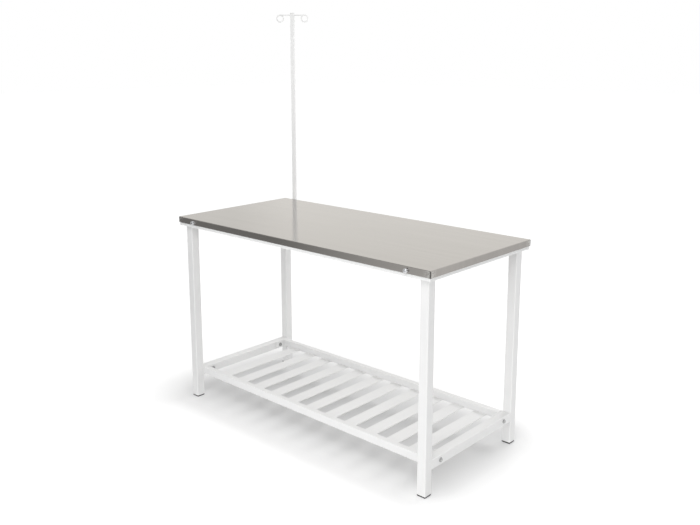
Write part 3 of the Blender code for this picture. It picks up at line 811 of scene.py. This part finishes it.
lines = sheet_noise(stretch=(3.0, 900.0, 1.0), Detail=3.0, Roughness=0.65)
bands = sheet_noise(stretch=(0.8, 60.0, 1.0), Detail=2.0)
smears = sheet_noise(3.2, Detail=5.0, Roughness=0.55, Distortion=0.6)
waviness = sheet_noise(2.6, Detail=1.0)
steel_lines = blend_colour(
    tree, span(tree, lines, 0, 1, 0.25, 0.75), (0.416, 0.397, 0.374), (0.457, 0.436, 0.411))
steel_bands = blend_colour(
    tree, span(tree, bands, 0, 0.5, 0.35, 0.65), steel_lines, (0.469, 0.446, 0.421))

sheet_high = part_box("worktop")[1]
fold_from, fold_to = sheet_high.z - 0.0020, sheet_high.z - 0.0008
ground_from, ground_to, seam_from, seam_to = 0.006, 0.034, 0.0014, 0.0042
apart = add_node(tree, "ShaderNodeSeparateXYZ", {0: vector_of(tree, "ABSOLUTE", place)}).outputs
to_corner = value_of(
    tree, "SUBTRACT", sheet_high.x + sheet_high.y, value_of(tree, "ADD", apart["X"], apart["Y"]))
on_skirt = span(tree, apart["Z"], 1, 0, fold_from, fold_to)
mottle = noise(tree, place, 130.0, Detail=3.0)
ground_spots = value_of(
    tree, "MULTIPLY", span(tree, to_corner, 1, 0, ground_from, ground_to),
    span(tree, mottle, 0, 1, 0.42, 0.56))
ground = value_of(tree, "MULTIPLY", ground_spots, on_skirt)
oxide = value_of(tree, "MULTIPLY", span(tree, to_corner, 0.9, 0, seam_from, seam_to), on_skirt)
steel_ground = blend_colour(tree, ground, steel_bands, (0.62, 0.61, 0.585))
steel_seam = blend_colour(tree, oxide, steel_ground, (0.045, 0.043, 0.040))
gloss = value_of(
    tree, "ADD", span(tree, smears, 0.06, 0.11, 0.3, 0.7), span(tree, lines, 0.0, 0.05, 0.25, 0.75))
ground_dulls = 0.22
brush = bump(tree, lines, 0.10, 0.0001)
along_grain = made_by(tree, "ShaderNodeTangent", direction_type="UV_MAP", uv_map="sheet")
feed(tree, shader, {
    "Base Color": steel_seam, "Metallic": 1.0, "Anisotropic": 0.45, "Tangent": along_grain,
    "Roughness": value_of(tree, "MULTIPLY_ADD", ground, ground_dulls, gloss),
    "Normal": bump(tree, waviness, 1.0, 0.0005, Normal=brush)})

sheet_bend, sheet_gauge, sheet_slit = 0.003, 0.0015, 0.0009
sheet = drilled(folded_sheet("worktop", sheet_bend, sheet_gauge, sheet_slit), stud_hole, *stud_holes)
piece("worktop", sheet, stainless, "table", "stainless", "worktop")


# Studs
# Chromed mushroom studs through the skirt, two in front and two behind: a flange on the sheet, a
# waist for a cord and a domed head. They also fix the sheet to the frame.
chrome = skin_finish(
    "bright_chrome", (900.0, 140.0), ((0.62, 0.63, 0.65), (0.70, 0.70, 0.71)), (0.04, 0.13),
    rough_over=(0.35, 0.75), Metallic=1.0)

sheet_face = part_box("worktop")[0].y - fit
reach = sheet_face - stud_low.y
shank, shank_radius = stud_high.y - sheet_face, 0.003
stud_flange, stud_neck, stud_head = 0.008, 0.0045, 0.0085
neck_top, dome = 0.006, 0.005
profile = [(shank_radius, -shank), (shank_radius, 0.0), (stud_flange - 0.0003, 0.0),
           (stud_flange, 0.0004), (stud_flange - 0.0003, 0.0014), (stud_neck + 0.0012, 0.0021),
           (stud_neck + 0.0003, 0.0028), (stud_neck, 0.0040), (stud_neck + 0.0003, 0.0052),
           (stud_neck + 0.0012, 0.0058), (stud_head - 0.0006, neck_top),
           (stud_head - 0.0001, neck_top + 0.0005)]
profile += [(stud_head * cos(a), reach - dome + dome * sin(a))
            for a in (radians(8 * k) for k in range(11))]
profile.append((0.0004, reach))
to_front = Matrix.Rotation(pi / 2, 4, "X")
stud = skin("stud", moved(round_rings(profile), to_front), sharp=50)
grown("tie_down_studs", corner_set, stud, chrome, "chrome",
      ["tie_down_stud_" + corner for corner in corners], sharp=50, Spread_X=2 * stud_middle.x,
      Spread_Y=-2 * sheet_face, Height=stud_middle.z, Turn_Rear=pi)


# Pole holder
# A coated socket tube behind the rear left leg, on two flat brackets welded to the leg, with a
# drained floor and a threaded boss for the clamp screw, whose pad reaches in through a hole.
def turned(name, profile, closed=False):
    """Solid of revolution round the pole's centre line, from pairs of radius and height."""
    place = Matrix.Translation((pole_centre.x, pole_centre.y, 0))
    return skin(name, moved(round_rings(profile, 64), place), closed=closed)


levels = ("upper", "lower")
for level in levels:
    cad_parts["pole_bracket_" + level].material_slots[0].material = coat
socket_low, socket_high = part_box("pole_socket")
boss_low, boss_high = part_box("clamp_boss")
pole_centre = (socket_low + socket_high) / 2
socket_radius, socket_wall = (socket_high.x - socket_low.x) / 2, 0.002
socket_bore = socket_radius - socket_wall
screw_z = (boss_low.z + boss_high.z) / 2
screw_hole, beside_hole, rim_edge = 0.0043, 0.006, 0.0005
socket_profile = [
    (socket_radius, socket_low.z), (socket_radius, screw_z - beside_hole),
    (socket_radius, screw_z + beside_hole), (socket_radius, socket_high.z - 0.0006),
    (socket_radius - rim_edge, socket_high.z), (socket_bore + rim_edge, socket_high.z),
    (socket_bore, socket_high.z - rim_edge), (socket_bore, screw_z + beside_hole),
    (socket_bore, screw_z - beside_hole), (socket_bore, socket_low.z)]
screw_axis = Vector((pole_centre.x, pole_centre.y, screw_z))
through_wall = screw_axis - Vector((socket_radius + drill_past, 0, 0))
socket = turned("pole_socket", socket_profile, closed=True)
coated("pole_socket", drilled(socket, screw_hole, (screw_axis, through_wall)))
drain_low, drain_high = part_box("socket_floor")
drain = 0.004
drain_profile = [
    (socket_radius - 0.0006, drain_low.z), (socket_radius, drain_low.z + 0.0006),
    (socket_radius, drain_high.z), (drain, drain_high.z), (drain, drain_low.z + 0.0004),
    (drain + 0.0004, drain_low.z)]
coated("socket_floor", turned("socket_floor", drain_profile, closed=True))

boss_radius = (boss_high.z - boss_low.z) / 2
boss_reach = pole_centre.x - boss_low.x
to_left = Matrix.Translation(screw_axis) @ Matrix.Rotation(-pi / 2, 4, "Y")
saddle = round_ring(boss_radius, 0)
for point in saddle:
    point.z = sqrt((socket_radius + fit) ** 2 - point.y ** 2)
boss_edge, thread_edge, boss_gap = 0.0008, 0.0006, 0.0005
boss_rings = [saddle] + round_rings((
    (boss_radius, boss_reach - boss_edge), (boss_radius - boss_edge, boss_reach),
    (screw_hole + thread_edge, boss_reach), (screw_hole, boss_reach - thread_edge),
    (screw_hole, socket_radius + boss_gap)))
coated("clamp_boss", skin("clamp_boss", moved(boss_rings, to_left), closed=True))


def round_pole(radius, angle, height):
    """A place at a distance from the pole's centre line."""
    return Vector((pole_centre.x + radius * cos(angle), pole_centre.y + radius * sin(angle), height))


bracket_inset, weld_out, weld_radius = 0.002, 0.0002, socket_radius + 0.0004
holder_seams = [[to_left @ (point + Vector((0, 0, weld_out))) for point in saddle + saddle[:1]]]
leg_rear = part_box("leg_rear_left")[1].y
for level in levels:
    low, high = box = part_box("pole_bracket_" + level)
    for z in (low.z, high.z):
        holder_seams.append(seam(box, 0, (0, leg_rear, z), bracket_inset))
        holder_seams.append([round_pole(weld_radius, radians(a), z) for a in range(208, 333, 4)])
grown("holder_welds", weld_run, line_mesh("holder_seams", holder_seams), coat, "white_coat",
      sharp=60, Bead=0.0013, Ripple=0.0036, Step=0.0010)


# Clamp
# A zinc-plated screw in the boss, moulded into a lobed black hand knob outside and bearing on the
# split liner through a loose nylon pad inside.
nylon = skin_finish(
    "natural_nylon", (1800.0, 30.0), ((0.72, 0.71, 0.66), (0.79, 0.78, 0.74)), (0.45, 0.60),
    (0.2, 0.0001), Subsurface_Weight=0.15, Subsurface_Radius=(0.003, 0.003, 0.0025))

pad_low, pad_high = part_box("clamp_pad")
pad_radius, pad_edge = (pad_high.z - pad_low.z) / 2, 0.0006
pad_near, pad_far = pole_centre.x - pad_high.x, pole_centre.x - pad_low.x
pad_rings = round_rings(((pad_radius - pad_edge, pad_near), (pad_radius, pad_near + pad_edge),
                         (pad_radius, pad_far - pad_edge), (pad_radius - pad_edge, pad_far)))
piece("clamp_pad", skin("clamp_pad", moved(pad_rings, to_left)), nylon, "clamp_pad", "nylon",
      "clamp_pad")

screw_low, screw_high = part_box("clamp_screw")
screw_near, screw_far = pole_centre.x - screw_high.x, pole_centre.x - screw_low.x
screw_tip, screw_lead = 0.0028, 0.0008
screw_rings = [round_ring(screw_tip, screw_near)]
screw_rings += thread_rings(
    bolt_radius, thread_depth, thread_pitch, screw_near + screw_lead, screw_far)
piece("clamp_screw", skin("clamp_screw", moved(screw_rings, to_left)), zinc, "clamp_knob", "zinc",
      "clamp_screw")


def lobed_ring(radius, height, scallop=0.002, lobes=6):
    """Ring with rounded lobes for the fingers."""
    return ring_of(lambda angle: radius - scallop * (1 - cos(lobes * angle)) / 2, height, 96)


knob_low, knob_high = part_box("clamp_knob")
knob_radius = max(knob_high.z - knob_low.z, knob_high.y - knob_low.y) / 2
near, far = pole_centre.x - knob_high.x, pole_centre.x - knob_low.x
knob_rings = round_rings(((screw_hole, near + 0.009), (screw_hole, near), (0.008, near)), 96)
for less, height in (
        (0.0040, near + 0.0012), (0.0012, near + 0.0016), (0.0003, near + 0.0024), (0, near + 0.0036),
        (0, far - 0.0036), (0.0004, far - 0.0022), (0.0014, far - 0.0010), (0.0030, far - 0.0003),
        (0.0050, far)):
    knob_rings.append(lobed_ring(knob_radius - less, height))
knob_rings += round_rings(((0.0096, far), (0.0090, far - 0.0006), (0.0005, far - 0.0009)), 96)
piece("clamp_knob", skin("clamp_knob", moved(knob_rings, to_left)), black, "clamp_knob",
      "black_plastic", "clamp_knob")


# Liner
# A split nylon bush between socket and pole. Its collar sits on the socket's rim, and the slit
# lets the clamp close it on the pole.
bush_low, bush_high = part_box("pole_bush")
pole_low, pole_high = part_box("pole_tube")
pole_radius = (pole_high.x - pole_low.x) / 2
bush_wall, bush_slit, bush_steps = 0.0025, 0.001, 72
bush_bore = pole_radius + fit
bush_radius = bush_bore + bush_wall
collar_radius = (bush_high.x - bush_low.x) / 2
rim = socket_high.z + fit
slit_angle = bush_slit / bush_bore
bush_profile = [
    (bush_radius, bush_low.z), (bush_radius, rim), (collar_radius - 0.0004, rim),
    (collar_radius, rim + 0.0004), (collar_radius, bush_high.z - 0.0008),
    (collar_radius - 0.0008, bush_high.z), (bush_bore + 0.0006, bush_high.z),
    (bush_bore, bush_high.z - 0.0006), (bush_bore, bush_low.z)]
bush_rings = []
for i in range(bush_steps + 1):
    angle = slit_angle + (2 * pi - 2 * slit_angle) * i / bush_steps
    bush_rings.append([round_pole(radius, angle, height) for radius, height in bush_profile])
piece("pole_bush", skin("pole_bush", bush_rings), nylon, "bush", "nylon", "pole_bush")


# Pole
# A thin-walled round tube in the same white coat, closed by a white cap above and a black plug
# below, with a cross hole for the hook near the top.
pole_wall, pole_edge = 0.0015, 0.0004
bore = pole_radius - pole_wall
hook_drop, hook_hole, hook_angle = 0.008, 0.0033, 42
hook_turn = Matrix.Translation((pole_centre.x, pole_centre.y, pole_high.z - hook_drop))
hook_turn = hook_turn @ Matrix.Rotation(radians(hook_angle), 4, "Z")
under_hole = pole_high.z - hook_drop - beside_hole
pole_profile = [
    (pole_radius, pole_low.z), (pole_radius, under_hole), (pole_radius, pole_high.z - pole_edge),
    (pole_radius - pole_edge, pole_high.z), (bore, pole_high.z), (bore, under_hole),
    (bore, pole_low.z)]
drill_reach = Vector((pole_radius + drill_past, 0, 0))
cross_hole = (hook_turn @ -drill_reach, hook_turn @ drill_reach)
tube = turned("pole_tube", pole_profile, closed=True)
coated("pole_tube", drilled(tube, hook_hole, cross_hole), "pole")

ivory = skin_finish(
    "white_moulding", (1500.0, 40.0), ((0.78, 0.78, 0.76), (0.83, 0.83, 0.81)), (0.36, 0.50),
    (0.2, 0.0001))
cap_low, cap_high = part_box("pole_top_cap")
cap_seat, brim = pole_high.z + fit, 0.0006
stem = bore - fit
cap_profile = [
    (stem, cap_low.z), (stem, cap_seat), (pole_radius - 0.0002, cap_seat),
    (pole_radius, cap_seat + 0.0004)]
cap_profile += [(pole_radius * cos(a), cap_seat + brim + (cap_high.z - cap_seat - brim) * sin(a))
                for a in (radians(10 * k) for k in range(9))]
cap_profile.append((0.0004, cap_high.z))
piece("pole_top_cap", turned("pole_top_cap", cap_profile), ivory, "pole",
      "white_plastic", "pole_top_cap")
plug_low, plug_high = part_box("pole_bottom_plug")
plug_seat, plug_edge, stem_edge = pole_low.z - fit, 0.0008, 0.001
plug_profile = [
    (pole_radius - plug_edge, plug_low.z), (pole_radius, plug_low.z + plug_edge),
    (pole_radius, plug_seat), (stem, plug_seat), (stem, plug_high.z - stem_edge),
    (stem - stem_edge, plug_high.z)]
piece("pole_bottom_plug", turned("pole_bottom_plug", plug_profile), black, "pole",
      "black_plastic", "pole_bottom_plug")


# Hook
# One bent steel rod through the pole's cross hole, coated white, with a pigtail loop at each end
# that a bag's eyelet is threaded onto. Its cut ends are rounded.
tree, size, result = tree_with("bent_rod", ("Rod Radius", "Tip"))
blunt = 1.04
line = made_by(tree, "GeometryNodeMeshToCurve", {"Mesh": size["Geometry"]})
travel = add_node(tree, "GeometryNodeSplineParameter").outputs["Length"]
whole = made_by(tree, "GeometryNodeSplineLength")
to_end = value_of(tree, "MINIMUM", travel, value_of(tree, "SUBTRACT", whole, travel))
gone = value_of(tree, "SUBTRACT", 1.0, value_of(tree, "DIVIDE", to_end, size["Tip"], use_clamp=True))
rounded = value_of(tree, "SUBTRACT", blunt, value_of(tree, "MULTIPLY", gone, gone))
kept = value_of(tree, "SQRT", rounded, use_clamp=True)
bent_rod = swept(tree, line, 20, value_of(tree, "MULTIPLY", kept, size["Rod Radius"]), size, result)

rod_radius, rod_tip, hook_spread = 0.003, 0.0026, 0.119
loop_radius, loop_offset, loop_sweep = 0.0157, 0.011, radians(345)
loop_steps, tip_steps, tip_share = 72, 6, 0.024
loop_share = [k / loop_steps for k in range(loop_steps - 2)]
loop_share += [1 - tip_share * (1 - k / tip_steps) ** 2 for k in range(tip_steps + 1)]
half_hook = []
for share_of_loop in loop_share:
    angle = loop_sweep * share_of_loop
    half_hook.append(Vector((hook_spread / 2 + loop_radius * sin(angle),
                             -loop_offset * share_of_loop, loop_radius * (cos(angle) - 1))))
straight = [Vector((hook_spread / 2 * (k / 12), 0, 0)) for k in range(-11, 12)]
other_half = [Vector((-point.x, -point.y, point.z)) for point in half_hook]
hook_line = moved([other_half[::-1] + straight + half_hook], hook_turn)
grown("pole_hook", bent_rod, line_mesh("hook_line", hook_line), coat, "white_coat", ["pole_hook"],
      "pole", Rod_Radius=rod_radius, Tip=rod_tip)
